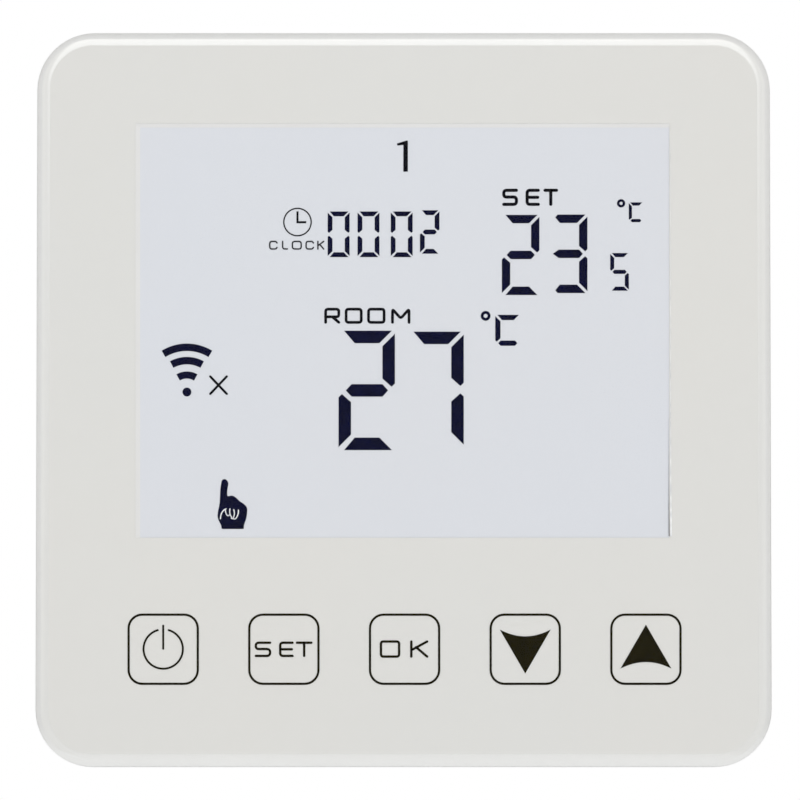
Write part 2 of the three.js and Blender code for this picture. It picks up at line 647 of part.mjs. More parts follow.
const relay = join(
  over(RELAY, ON_POWER_BOARD, RELAY.back),
  over(RELAY_LID, RELAY.back - 1, RELAY_LID.back),
);
addPart(base, "relay", relay, finish(0x26282c, 0.4));

const transformer = join(
  over(TRANSFORMER, ON_POWER_BOARD, TRANSFORMER.foot),
  over(WINDING, ...WINDING.y),
  over(TRANSFORMER, ...TRANSFORMER.top),
);
addPart(base, "transformer", transformer, finish(0xc9a53c, 0.5));

// A can with a pressed groove near its foot and a rolled rim.
function electrolytic() {
  const { radius, height } = ELECTROLYTIC;
  return turned([
    [0, 0],
    [radius, 0],
    [radius, 1.6],
    [radius - 0.3, 2],
    [radius, 2.4],
    [radius, height - 0.4],
    [radius - 0.4, height],
    [0, height],
  ], 24);
}
const canPlace = [ELECTROLYTIC.x, ON_POWER_BOARD, ELECTROLYTIC.z];
addPart(base, "electrolytic_capacitor", electrolytic(), BLACK_PLASTIC, canPlace);

// A block with round corners standing on the power board.
function moulded({ x, z, corner, back }) {
  return slab(x[0], x[1], z[0], z[1], corner, ON_POWER_BOARD, back);
}

const filmCapacitor = moulded(FILM_CAPACITOR);
addPart(base, "film_capacitor", filmCapacitor, finish(0xb98a2e, 0.4));

// A surge-absorbing disc on two legs.
function varistor() {
  const { x, y, z, radius, thickness, leg, legX } = VARISTOR;
  const disc = new THREE.CylinderGeometry(radius, radius, thickness, 24).rotateX(Math.PI / 2);
  const legs = SIDES.map((side) => barY(x + side * legX, z, leg, ON_POWER_BOARD, y, 8));
  return join(solid(disc.translate(x, y, z)), ...legs);
}
addPart(base, "varistor", varistor(), finish(0x2f6fb0, 0.45));

addPart(base, "fuse", moulded(FUSE), finish(0x8e2f2a, 0.4));

// ---- Base: terminals ----

// One open chamber for each wire, with a port below for the wire and a hole behind for the screw.
function terminalBlock() {
  const { halfWidth, rear, top, z } = TERMINAL;
  const bottom = 2 * z - top;
  const foot = halfWidth - 4;
  const body = join(
    block(-foot, foot, ON_POWER_BOARD, TERMINAL.step + 1, bottom + 1.2, top),
    block(-halfWidth, halfWidth, TERMINAL.step, rear, bottom, top),
  );
  const hollows = spread(TERMINAL.count, TERMINAL.pitch).flatMap((x) => {
    const [w, h] = [CELL.halfWidth, CELL.halfHeight];
    const port = WIRE_PORT.size / 2;
    const portFront = CELL.front + WIRE_PORT.front;
    return [
      block(x - w, x + w, CELL.front, CELL.back, z - h, z + h),
      block(x - port, x + port, portFront, portFront + WIRE_PORT.size, bottom - 1, z),
      barY(x, z, DRIVER_HOLE, CELL.back - 1, rear + 1),
    ];
  });
  return cut(body, ...hollows);
}

// The cage that a terminal screw draws towards its head, gripping the wire that passes through.
function terminalClamp() {
  const { halfWidth, halfHeight, bore } = CLAMP;
  const { halfWidth: mouth, wall } = CLAMP_MOUTH;
  const [front, back] = [CELL.front + CLAMP.front, CELL.front + CLAMP.back];
  return cut(
    block(-halfWidth, halfWidth, front, back, -halfHeight, halfHeight),
    block(-mouth, mouth, front + wall[0], back - wall[1], -halfHeight - 1, halfHeight + 1),
    barY(0, 0, bore, back - 2, back + 1, 12),
  );
}

// A slotted screw with its head behind; it turns where it is and draws the clamp along.
function terminalScrew() {
  const { seat, head, shaft, headRadius } = TERMINAL_SCREW;
  const tip = CELL.front + TERMINAL_SCREW.tip;
  const body = turned([
    [0, tip],
    [shaft - 0.4, tip],
    [shaft, tip + 0.4],
    [shaft, seat],
    [headRadius, seat],
    [headRadius, head],
    [0, head],
  ]);
  return cut(body, block(-3, 3, head - SCREW_SLOT.depth, head + 1, -SCREW_SLOT.half, SCREW_SLOT.half));
}

addPart(base, "terminal_block", terminalBlock(), finish(0x3b5f4a, 0.45));
const clamp = terminalClamp();
const clampScrew = terminalScrew();
spread(TERMINAL.count, TERMINAL.pitch).forEach((x, i) => {
  const place = [x, 0, TERMINAL.z];
  addPart(base, `terminal_clamp_${i + 1}`, clamp, BRASS, place);
  addPart(base, `terminal_screw_${i + 1}`, clampScrew, STEEL, place);
});

export default thermostat;
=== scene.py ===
# Wall thermostat: finishes, fine shapes, printed artwork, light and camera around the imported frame.
import json
import math

import bmesh
import bpy
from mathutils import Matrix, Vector


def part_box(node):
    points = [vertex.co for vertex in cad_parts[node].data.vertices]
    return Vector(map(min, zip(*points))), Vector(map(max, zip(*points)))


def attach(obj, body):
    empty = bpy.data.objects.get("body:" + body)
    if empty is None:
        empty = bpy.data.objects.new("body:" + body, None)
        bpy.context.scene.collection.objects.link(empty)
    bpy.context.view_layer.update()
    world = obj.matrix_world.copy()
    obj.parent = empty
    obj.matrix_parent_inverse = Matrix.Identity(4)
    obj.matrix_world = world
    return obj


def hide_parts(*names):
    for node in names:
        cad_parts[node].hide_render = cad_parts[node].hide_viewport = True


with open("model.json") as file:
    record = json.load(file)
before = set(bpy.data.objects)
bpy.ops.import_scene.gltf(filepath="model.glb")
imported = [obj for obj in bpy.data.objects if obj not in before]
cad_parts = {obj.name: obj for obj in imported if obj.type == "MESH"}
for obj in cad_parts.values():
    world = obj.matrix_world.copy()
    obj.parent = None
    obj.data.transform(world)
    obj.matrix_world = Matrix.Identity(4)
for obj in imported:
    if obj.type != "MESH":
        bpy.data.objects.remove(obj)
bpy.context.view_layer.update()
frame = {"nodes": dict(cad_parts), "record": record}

MM = 0.001
scene = bpy.context.scene

# ---------------------------------------------------------------- Materials


class Look:
    """A node material around one Principled shader, read in the object's own coordinates."""

    def __init__(self, name, colour, roughness, metallic=0.0, **sockets):
        self.material = bpy.data.materials.new(name)
        self.material.use_nodes = True
        self.tree = self.material.node_tree
        self.shader = self.tree.nodes["Principled BSDF"]
        self.place = self.tree.nodes.new("ShaderNodeTexCoord").outputs["Object"]
        self.colour = colour
        self.roughness = roughness
        self.shader.inputs["Base Color"].default_value = (*colour, 1)
        self.shader.inputs["Roughness"].default_value = roughness
        self.shader.inputs["Metallic"].default_value = metallic
        for socket, value in sockets.items():
            self.shader.inputs[socket.replace("_", " ")].default_value = value

    def link(self, source, target):
        self.tree.links.new(source, target)

    def stretched(self, stretch):
        """The object's coordinates, scaled on each axis so that a pattern runs along one of them."""
        if stretch == (1, 1, 1):
            return self.place
        mapping = self.tree.nodes.new("ShaderNodeMapping")
        mapping.inputs["Scale"].default_value = stretch
        self.link(self.place, mapping.inputs["Vector"])
        return mapping.outputs["Vector"]

    def noise(self, per_metre, detail, stretch=(1, 1, 1)):
        node = self.tree.nodes.new("ShaderNodeTexNoise")
        node.inputs["Scale"].default_value = per_metre
        node.inputs["Detail"].default_value = detail
        self.link(self.stretched(stretch), node.inputs["Vector"])
        return node.outputs["Fac"]

    def cells(self, per_metre, output="Color", stretch=(1, 1, 1), feature="F1"):
        node = self.tree.nodes.new("ShaderNodeTexVoronoi")
        node.feature = feature
        node.inputs["Scale"].default_value = per_metre
        self.link(self.stretched(stretch), node.inputs["Vector"])
        if output != "Color":
            return node.outputs[output]
        grey = self.tree.nodes.new("ShaderNodeRGBToBW")
        self.link(node.outputs["Color"], grey.inputs["Color"])
        return grey.outputs["Val"]

    def bands(self, per_metre, distortion, axis):
        node = self.tree.nodes.new("ShaderNodeTexWave")
        node.bands_direction = axis
        node.inputs["Scale"].default_value = per_metre
        node.inputs["Distortion"].default_value = distortion
        self.link(self.place, node.inputs["Vector"])
        return node.outputs["Fac"]

    def fitted(self, value, low, high, start=0.3, end=0.7):
        """A pattern's value, spread over the range low to high."""
        node = self.tree.nodes.new("ShaderNodeMapRange")
        node.inputs["From Min"].default_value = start
        node.inputs["From Max"].default_value = end
        node.inputs["To Min"].default_value = low
        node.inputs["To Max"].default_value = high
        self.link(value, node.inputs["Value"])
        return node.outputs["Result"]

    def shade(self, value, other, start=0.3, end=0.7):
        """Moves the base colour towards another one where the pattern is high."""
        node = self.tree.nodes.new("ShaderNodeMix")
        node.data_type = "RGBA"
        before = self.shader.inputs["Base Color"]
        if before.is_linked:
            self.link(before.links[0].from_socket, node.inputs["A"])
        else:
            node.inputs["A"].default_value = (*self.colour, 1)
        node.inputs["B"].default_value = (*other, 1)
        self.link(self.fitted(value, 0, 1, start, end), node.inputs["Factor"])
        self.link(node.outputs["Result"], before)

    def vary_gloss(self, value, spread):
        low, high = self.roughness - spread, self.roughness + spread
        self.link(self.fitted(value, max(low, 0.02), high), self.shader.inputs["Roughness"])

    def bump(self, value, depth, strength=1.0):
        node = self.tree.nodes.new("ShaderNodeBump")
        node.inputs["Strength"].default_value = strength
        node.inputs["Distance"].default_value = depth
        self.link(value, node.inputs["Height"])
        before = self.shader.inputs["Normal"]
        if before.is_linked:
            self.link(before.links[0].from_socket, node.inputs["Normal"])
        self.link(node.outputs["Normal"], before)


def tint(colour, factor, warmth=0.0):
    """A colour made lighter or darker, and a little warmer or cooler."""
    r, g, b = colour
    return (min(r * factor * (1 + warmth), 1), min(g * factor, 1), min(b * factor * (1 - warmth), 1))


def moulded(name, colour, roughness, grain=2600, depth=0.000012, **sockets):
    """Moulded plastic: a fine spark-eroded grain, faint clouds of colour and flow."""
    look = Look(name, colour, roughness, **sockets)
    look.shade(look.noise(60, 3), tint(colour, 0.965, 0.004))
    look.vary_gloss(look.noise(300, 3), 0.05)
    look.bump(look.noise(grain, 2), depth)
    return look.material


METAL_GRAIN = 1500  # brush marks in a metre


def metal(name, colour, roughness, brush=(1, 1, 1)):
    """Plated or drawn metal, with its grain drawn out along one axis."""
    look = Look(name, colour, roughness, metallic=1.0)
    look.shade(look.noise(220, 3), tint(colour, 0.82, 0.01))
    look.vary_gloss(look.noise(METAL_GRAIN, 4, brush), 0.1)
    look.bump(look.noise(METAL_GRAIN, 3, brush), 0.000006)
    return look.material


def clear_front(name, ior, most, roughness):
    """Clear sheet that mirrors a little from outside, more at a grazing angle, and is open else."""
    look = Look(name, (0.97, 0.98, 0.98), roughness, metallic=1.0)
    look.shade(look.noise(60, 2), (0.94, 0.96, 0.96))
    look.vary_gloss(look.noise(120, 2), 0.02)
    look.bump(look.noise(90, 2), 0.000004, 0.3)
    nodes = look.tree.nodes

    def maths(operation, first, second):
        node = nodes.new("ShaderNodeMath")
        node.operation = operation
        for socket, value in zip(node.inputs, (first, second)):
            if isinstance(value, (int, float)):
                socket.default_value = value
            else:
                look.link(value, socket)
        return node.outputs["Value"]

    fresnel = nodes.new("ShaderNodeFresnel")
    fresnel.inputs["IOR"].default_value = ior
    outside = maths("SUBTRACT", 1, nodes.new("ShaderNodeNewGeometry").outputs["Backfacing"])
    share = maths("MULTIPLY", maths("MINIMUM", fresnel.outputs["Fac"], most), outside)
    mix = nodes.new("ShaderNodeMixShader")
    look.link(share, mix.inputs["Fac"])
    look.link(nodes.new("ShaderNodeBsdfTransparent").outputs["BSDF"], mix.inputs[1])
    look.link(look.shader.outputs["BSDF"], mix.inputs[2])
    look.link(mix.outputs["Shader"], nodes["Material Output"].inputs["Surface"])
    return look.material


def back_print(name, white, low, start, end):
    """White print on the sheet's rear face; it turns to the low colour from height end down to start, a
    painted highlight for light the sheet's bottom rim would catch.
    """
    look = Look(name, white, 0.6, Specular_IOR_Level=0.0)
    look.shade(look.noise(22, 2), tint(white, 1.0, 0.012))
    split = look.tree.nodes.new("ShaderNodeSeparateXYZ")
    look.link(look.place, split.inputs["Vector"])
    # painted highlight: the colour lifts towards the bottom of the sheet
    look.shade(look.fitted(split.outputs["Z"], 1, 0, start, end), low, 0, 1)
    look.vary_gloss(look.noise(180, 2), 0.05)
    look.bump(look.noise(2500, 2), 0.000002)
    return look.material


def ink(name, colour):
    """Dense screen-printed ink, with a fine mesh-like unevenness."""
    look = Look(name, colour, 0.6, Specular_IOR_Level=0.0)
    look.shade(look.noise(900, 2), tint(colour, 1.7))
    look.vary_gloss(look.noise(2000, 2), 0.06)
    look.bump(look.noise(3500, 2), 0.000002)
    return look.material


def display_film():
    """The anti-glare film over the display, cool grey with a fine sparkle."""
    grey = (0.705, 0.727, 0.77)
    look = Look("display_film", grey, 0.5, Specular_IOR_Level=0.0)
    look.shade(look.noise(26, 2), tint(grey, 1.0, 0.012))
    look.shade(look.noise(5200, 1), tint(grey, 0.985), 0.45, 0.75)
    look.vary_gloss(look.noise(700, 2), 0.05)
    look.bump(look.noise(6000, 2), 0.000002)
    return look.material


def circuit_board():
    """Green solder mask over copper: tracks as faint raised lines, under faint darker clouds."""
    green = (0.012, 0.125, 0.045)
    look = Look("circuit_board", green, 0.28, Coat_Weight=0.3)
    look.shade(look.cells(420, "Distance", (1, 1, 0.35), "DISTANCE_TO_EDGE"), (0.02, 0.19, 0.07), 0.04, 0.07)
    look.shade(look.noise(90, 3), (0.008, 0.09, 0.03))
    look.vary_gloss(look.noise(900, 3), 0.06)
    look.bump(look.cells(420, "Distance", (1, 1, 0.35), "DISTANCE_TO_EDGE"), 0.00003, 0.6)
    return look.material


def galvanised():
    """Zinc-coated sheet: spangle crystals of different greys, each tilted a little."""
    zinc = (0.50, 0.515, 0.525)
    look = Look("galvanised_steel", zinc, 0.38, metallic=1.0)
    look.shade(look.cells(620), (0.44, 0.455, 0.465), 0.1, 0.9)
    look.shade(look.noise(900, 3), (0.56, 0.57, 0.57), 0.5, 0.8)
    look.vary_gloss(look.cells(620), 0.06)
    look.bump(look.noise(700, 3), 0.00001)
    return look.material


def wound_tape():
    """Yellow tape wound round the transformer, with the edge of each turn showing."""
    look = Look("transformer_tape", (0.72, 0.5, 0.06), 0.3, Coat_Weight=0.2)
    look.shade(look.noise(500, 3, (1, 0.1, 1)), (0.6, 0.38, 0.035))
    look.vary_gloss(look.noise(900, 2), 0.06)
    look.bump(look.bands(160, 0.4, "Y"), 0.00004, 0.4)
    return look.material


def clear_sheet(name, colour, roughness, share):
    """Glass or acrylic sheet, mostly see-through and a little tinted."""
    look = Look(name, colour, roughness, Alpha=share)
    look.shade(look.noise(120, 2), tint(colour, 0.96))
    look.vary_gloss(look.noise(400, 2), 0.03)
    look.bump(look.noise(200, 2), 0.000005)
    return look.material


def glowing_lamp():
    """The lamp's yellow phosphor in its white cup; it is off here."""
    look = Look("led", (0.86, 0.74, 0.25), 0.35, Coat_Weight=0.4)
    look.shade(look.noise(1800, 2), (0.9, 0.82, 0.45))
    look.vary_gloss(look.noise(900, 2), 0.05)
    look.bump(look.noise(2500, 2), 0.00001)
    return look.material


WHITE = (0.70, 0.70, 0.68)
FINISH = {
    "panel_glass": clear_front("panel_clear", 1.25, 0.4, 0.06),
    "adhesive": moulded("adhesive", (0.62, 0.62, 0.6), 0.85, 1800, 0.00004),
    "white_plastic": moulded("white_plastic", WHITE, 0.42),
    "box_plastic": moulded("box_plastic", (0.67, 0.67, 0.65), 0.48, 1600, 0.00002),
    "polarizer": display_film(),
    "lcd_glass": clear_sheet("lcd_glass", (0.82, 0.87, 0.86), 0.05, 0.35),
    "white_film": moulded("white_film", (0.88, 0.88, 0.86), 0.6, 4000, 0.000004),
    "clear_acrylic": clear_sheet("clear_acrylic", (0.86, 0.9, 0.9), 0.08, 0.45),
    "frame_plastic": moulded("frame_plastic", (0.80, 0.80, 0.78), 0.5),
    "contact_rubber": moulded("contact_rubber", (0.05, 0.05, 0.055), 0.8, 1500, 0.00002),
    "led": glowing_lamp(),
    "circuit_board": circuit_board(),
    "black_plastic": moulded("black_plastic", (0.02, 0.02, 0.023), 0.45, 2200, 0.00002),
    "shield_can": metal("shield_can", (0.6, 0.61, 0.62), 0.3, (1, 1, 0.08)),
    "nickel": metal("nickel", (0.68, 0.67, 0.65), 0.2, (1, 0.1, 1)),
    "spring_steel": metal("spring_steel", (0.56, 0.56, 0.56), 0.25, (0.2, 1, 1)),
    "screw_steel": metal("screw_steel", (0.58, 0.59, 0.6), 0.28),
    "sensor_bead": moulded("sensor_bead", (0.02, 0.02, 0.02), 0.25, 900, 0.00003),
    "brass": metal("brass", (0.72, 0.52, 0.2), 0.3, (1, 0.2, 1)),
    "galvanised_steel": galvanised(),
    "relay_plastic": moulded("relay_plastic", (0.022, 0.024, 0.03), 0.4, 1800, 0.00002),
    "transformer_tape": wound_tape(),
    "capacitor_sleeve": moulded("capacitor_sleeve", (0.015, 0.017, 0.03), 0.25, 1200, 0.00001,
                                Coat_Weight=0.3),
    "film_resin": moulded("film_resin", (0.5, 0.26, 0.035), 0.35, 1500, 0.00002),
    "varistor_resin": moulded("varistor_resin", (0.03, 0.13, 0.4), 0.3, 800, 0.00004,
                              Coat_Weight=0.3),
    "fuse_plastic": moulded("fuse_plastic", (0.28, 0.03, 0.025), 0.35, 1500, 0.00002),
    "terminal_plastic": moulded("terminal_plastic", (0.045, 0.14, 0.075), 0.42, 1800, 0.00002),
}
PANEL_RIM = clear_front("panel_rim", 2.6, 0.32, 0.24)
# The print's white, lighter towards the sheet's bottom edge: painted light along the bottom rim.
PRINT_WHITE_AND_PAINTED_LIGHT = back_print("print_white_and_painted_light", (0.722, 0.722, 0.702), (0.80, 0.80, 0.785), -0.0424, -0.0411)
# Outer band of the print: painted shade, darker than the print for the rim's dark edge, and a painted
# highlight lighter towards the bottom.
PAINTED_RIM_SHADING = back_print("print_painted_rim_shading", (0.68, 0.68, 0.67), (0.80, 0.80, 0.785), -0.0415, -0.0380)
GASKET_FOAM = moulded("gasket_foam", (0.76, 0.76, 0.755), 0.7, 4000, 0.000004)
# Dark colour for the strip that stands in for the shadow in the gap beside the display: painted shadow.
GAP_SHADE = moulded("gap_shade", (0.2, 0.2, 0.21), 0.8)
KEY_INK = ink("key_ink", (0.0064, 0.0049, 0.0002))
SEGMENT_INK = ink("segment_ink", (0.001, 0.0014, 0.0155))
LABEL_INK = ink("label_ink", (0.001, 0.001, 0.003))
FAINT_INK = ink("faint_ink", (0.03, 0.03, 0.035))
# Pale ink for the hand icon's creases, used as well for the painted highlight on the print's cut edge beside
# the display.
CREASE_INK_AND_HIGHLIGHT = ink("crease_ink_and_highlight", (0.66, 0.68, 0.72))

for subpart in frame["record"]["subparts"]:
    node = frame["nodes"][subpart["node"]]
    node.data.materials.clear()
    node.data.materials.append(FINISH[subpart["material_slot"]])

SLOT_OF = {subpart["node"]: subpart["material_slot"] for subpart in frame["record"]["subparts"]}
BODY_OF = {}
for body_name, members in frame["record"]["behaviour"]["bodies"].items():
    for member in members:
        BODY_OF[member] = body_name

# ---------------------------------------------------------------- Meshes


def add_object(name, mesh, body, materials):
    piece = bpy.data.objects.new(name, mesh)
    scene.collection.objects.link(piece)
    for material in materials:
        mesh.materials.append(material)
    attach(piece, body)
    return piece


def from_bmesh(name, bm):
    mesh = bpy.data.meshes.new(name)
    bm.to_mesh(mesh)
    bm.free()
    return mesh


def apply_modifiers(piece):
    """Bakes the piece's modifiers into its mesh."""
    evaluated = piece.evaluated_get(bpy.context.evaluated_depsgraph_get())
    mesh = bpy.data.meshes.new_from_object(evaluated)
    piece.modifiers.clear()
    piece.data = mesh


SHARP = math.radians(38)        # edges that turn more than this are rounded and shaded as edges
SHARP_ROUND = math.radians(42)  # the same on round pieces, whose facets turn more
FLAT = math.radians(0.5)        # facets that turn less than this are merged
EDGE_STEPS = 2
WELD = 1e-6
VENTED = ("front_shell", "power_box")


def soft_edges(piece, width, limit=SHARP):
    """Rounds the sharp edges a little and shades the rest smoothly."""
    piece.data.polygons.foreach_set("use_smooth", [True] * len(piece.data.polygons))
    if width:
        bevel = piece.modifiers.new("edges", "BEVEL")
        bevel.width = width
        bevel.segments = EDGE_STEPS
        bevel.limit_method = "ANGLE"
        bevel.angle_limit = limit
        bevel.use_clamp_overlap = True
        bevel.miter_outer = "MITER_ARC"
        apply_modifiers(piece)
    piece.data.set_sharp_from_angle(angle=limit)
    weighted = piece.modifiers.new("normals", "WEIGHTED_NORMAL")
    weighted.keep_sharp = True
    apply_modifiers(piece)


def refined(node, width, limit=SHARP):
    """Stands for a CAD node with the same shape, its facets merged and its edges rounded.

    Faces cut by rows of vent slots are split into convex parts, which round without tearing.
    """
    bm = bmesh.new()
    bm.from_mesh(frame["nodes"][node].data)
    bmesh.ops.remove_doubles(bm, verts=bm.verts, dist=WELD)
    bmesh.ops.dissolve_limit(bm, angle_limit=FLAT, verts=bm.verts, edges=bm.edges)
    if node in VENTED:
        bmesh.ops.connect_verts_concave(bm, faces=bm.faces)
    mesh = from_bmesh("fine_" + node, bm)
    slot = SLOT_OF[node]
    piece = add_object("fine_" + node, mesh, BODY_OF[node], [FINISH[slot]])
    soft_edges(piece, width, limit)
    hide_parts(node)


def rounded_square(half, radius, steps, centre):
    """Points of a square with round corners, going round it from its right side."""
    points = []
    for quarter in range(4):
        sx = 1 if quarter in (0, 3) else -1
        sz = 1 if quarter in (0, 1) else -1
        for i in range(steps + 1):
            angle = (quarter + i / steps) * math.pi / 2
            x = sx * (half - radius) + radius * math.cos(angle)
            z = sz * (half - radius) + radius * math.sin(angle)
            points.append((x + centre[0], z + centre[1]))
    return points


def loop_of(bm, points, y):
    return [bm.verts.new((x, y, z)) for x, z in points]


def bridge(bm, first, second):
    """Joins two loops of the same length with a ring of faces."""
    count = len(first)
    for i in range(count):
        j = (i + 1) % count
        bm.faces.new((first[i], first[j], second[j], second[i]))


def fill_between(bm, outer, inner):
    """Fills the flat ring between an outer loop and a hole in it."""
    edges = []
    for loop in (outer, inner):
        for i, vert in enumerate(loop):
            after = loop[(i + 1) % len(loop)]
            edges.append(bm.edges.get((vert, after)) or bm.edges.new((vert, after)))
    bmesh.ops.triangle_fill(bm, edges=edges, use_beauty=True, normal=(0, -1, 0))


# ---------------------------------------------------------------- Flat artwork


def arc(centre, radius, start, end, steps):
    """Points on an arc; angles in degrees, from +X towards +Z."""
    points = []
    for i in range(steps + 1):
        angle = math.radians(start + (end - start) * i / steps)
        points.append((centre[0] + radius * math.cos(angle), centre[1] + radius * math.sin(angle)))
    return points


def rounded_path(points, radius, closed=False, steps=5):
    """The same path with its corners turned into arcs."""
    count = len(points)
    result = []
    for i, point in enumerate(points):
        if not closed and i in (0, count - 1):
            result.append(point)
            continue
        here = Vector(point)
        before, after = Vector(points[i - 1]), Vector(points[(i + 1) % count])
        reach = min(radius, (before - here).length / 2, (after - here).length / 2)
        start = here + (before - here).normalized() * reach
        end = here + (after - here).normalized() * reach
        for k in range(steps + 1):
            t = k / steps
            result.append(tuple(start * (1 - t) ** 2 + here * 2 * t * (1 - t) + end * t ** 2))
    return result


# The camera: its distance from the point it aims at, and how far below that point's level it is.
SIGHT = {"distance": 0.5, "below": math.radians(2), "aim": Vector((-0.418 * MM, -14 * MM, -0.2 * MM)),
         "field": 93.25 * MM}
EYE = SIGHT["aim"] - SIGHT["distance"] * Vector((0, math.cos(SIGHT["below"]), math.sin(SIGHT["below"])))
# The artwork's scale and place on the plane that the camera aims at.
ART_FIT = 0.99767
ART_PLACE = (0.4319 * MM, -0.1167 * MM)
CAP_STEPS = 6
RING_STEPS = 28


def in_sight(x, z, y):
    """Where a place of the artwork, as it lines up in sight, falls on the plane at depth y."""
    u, v = ART_FIT * x + ART_PLACE[0], ART_FIT * z + ART_PLACE[1]
    cos, sin = math.cos(SIGHT["below"]), math.sin(SIGHT["below"])
    t = (y - EYE.y) / (SIGHT["distance"] * cos - v * sin)
    return EYE.x + t * u, EYE.z + t * (SIGHT["distance"] * sin + v * cos)


class Artwork:
    """Thin raised shapes in the plane of the panel, given in millimetres as they line up in sight."""

    def __init__(self):
        self.bm = bmesh.new()

    def area(self, outline):
        self.bm.faces.new([self.vert(point) for point in outline])

    def stroke(self, path, width, closed=False, round_ends=False):
        """A line of the given width along a path, mitred at its corners."""
        points = [Vector(p) for p in path]
        count = len(points)
        left, right = [], []
        for i, point in enumerate(points):
            ends = not closed and i in (0, count - 1)
            before = points[i - 1] if closed or i else point
            after = points[(i + 1) % count] if closed or i < count - 1 else point
            into = (point - before).normalized() if before != point else (after - point).normalized()
            out = (after - point).normalized() if after != point else into
            along = (into + out).normalized() if (into + out).length > 1e-6 else into
            across = Vector((-along.y, along.x))
            reach = width / 2 if ends else width / 2 / max(across.dot(Vector((-into.y, into.x))), 0.35)
            left.append(point + across * reach)
            right.append(point - across * reach)
        sides = [[self.vert(p) for p in side] for side in (left, right)]
        if closed:
            bridge(self.bm, *sides)
            return
        for i in range(count - 1):
            self.bm.faces.new((sides[0][i], sides[0][i + 1], sides[1][i + 1], sides[1][i]))
        if round_ends:
            self.fan(sides[0][-1], self.cap(points[-1], points[-2], width / 2), sides[1][-1])
            self.fan(sides[1][0], self.cap(points[0], points[1], width / 2), sides[0][0])

    def vert(self, point):
        return self.bm.verts.new((point[0] * MM, 0, point[1] * MM))

    def fan(self, first, between, last):
        """Closes a round end whose straight edge already belongs to a stroke."""
        self.bm.faces.new([first, *(self.vert(p) for p in between), last])

    @staticmethod
    def cap(end, inner, radius):
        """The inner points of a round end, going round it clockwise."""
        away = (end - inner).normalized()
        start = math.atan2(away.y, away.x) + math.pi / 2
        angles = [start - math.pi * k / CAP_STEPS for k in range(1, CAP_STEPS)]
        return [end + radius * Vector((math.cos(angle), math.sin(angle))) for angle in angles]

    def disc(self, centre, radius):
        self.area(arc(centre, radius, 0, 360, RING_STEPS)[:-1])

    def ring(self, centre, radius, width, steps=RING_STEPS):
        self.stroke(arc(centre, radius, 0, 360, steps)[:-1], width, closed=True)

    def piece(self, name, front, thickness, material):
        """Gives the shapes their depth and makes them one object."""
        bm = self.bm
        made = bmesh.ops.extrude_face_region(bm, geom=bm.faces[:], use_keep_orig=True)
        behind = [v for v in made["geom"] if isinstance(v, bmesh.types.BMVert)]
        bmesh.ops.translate(bm, verts=behind, vec=(0, thickness, 0))
        for vert in bm.verts:
            x, z = in_sight(vert.co.x, vert.co.z, front)
            vert.co = (x, vert.co.y + front, z)
        bmesh.ops.recalc_face_normals(bm, faces=bm.faces)
        add_object(name, from_bmesh(name, bm), "front_unit", [material])


# Letters as strokes in a square from (0, 0) to (1, 1).
SQUARE_O = [(0, 0), (1, 0), (1, 1), (0, 1)]
LETTER = {
    "S": [[(1, 1), (0.0, 1), (0.0, 0.52), (1, 0.52), (1, 0), (0, 0)]],
    "E": [[(1, 1), (0, 1), (0, 0), (1, 0)], [(0.05, 0.5), (0.95, 0.5)]],
    "T": [[(0, 1), (1, 1)], [(0.5, 1), (0.5, 0)]],
    "K": [[(0, 1), (0, 0)], [(1, 1), (0.06, 0.46)], [(0.3, 0.62), (1, 0)]],
    "L": [[(0, 1), (0, 0), (1, 0)]],
    "R": [[(0, 0), (0, 1), (1, 1), (1, 0.42), (0, 0.42)], [(0.5, 0.42), (1, 0)]],
    "M": [[(0, 0), (0, 1), (0.5, 0.3), (1, 1), (1, 0)]],
    "C": [[(1, 0.8), (0.85, 1), (0.15, 1), (0, 0.8), (0, 0.2), (0.15, 0), (0.85, 0), (1, 0.2)]],
}


def write_letter(art, letter, x0, x1, z0, z1, stroke, corner):
    """One letter whose strokes' outer edges fill the box."""
    half = stroke / 2
    x0, x1, z0, z1 = x0 + half, x1 - half, z0 + half, z1 - half

    def placed(points):
        return [(x0 + u * (x1 - x0), z0 + v * (z1 - z0)) for u, v in points]

    if letter == "O":
        art.stroke(rounded_path(placed(SQUARE_O), corner, closed=True), stroke, closed=True)
        return
    for path in LETTER[letter]:
        art.stroke(rounded_path(placed(path), corner), stroke, round_ends=True)


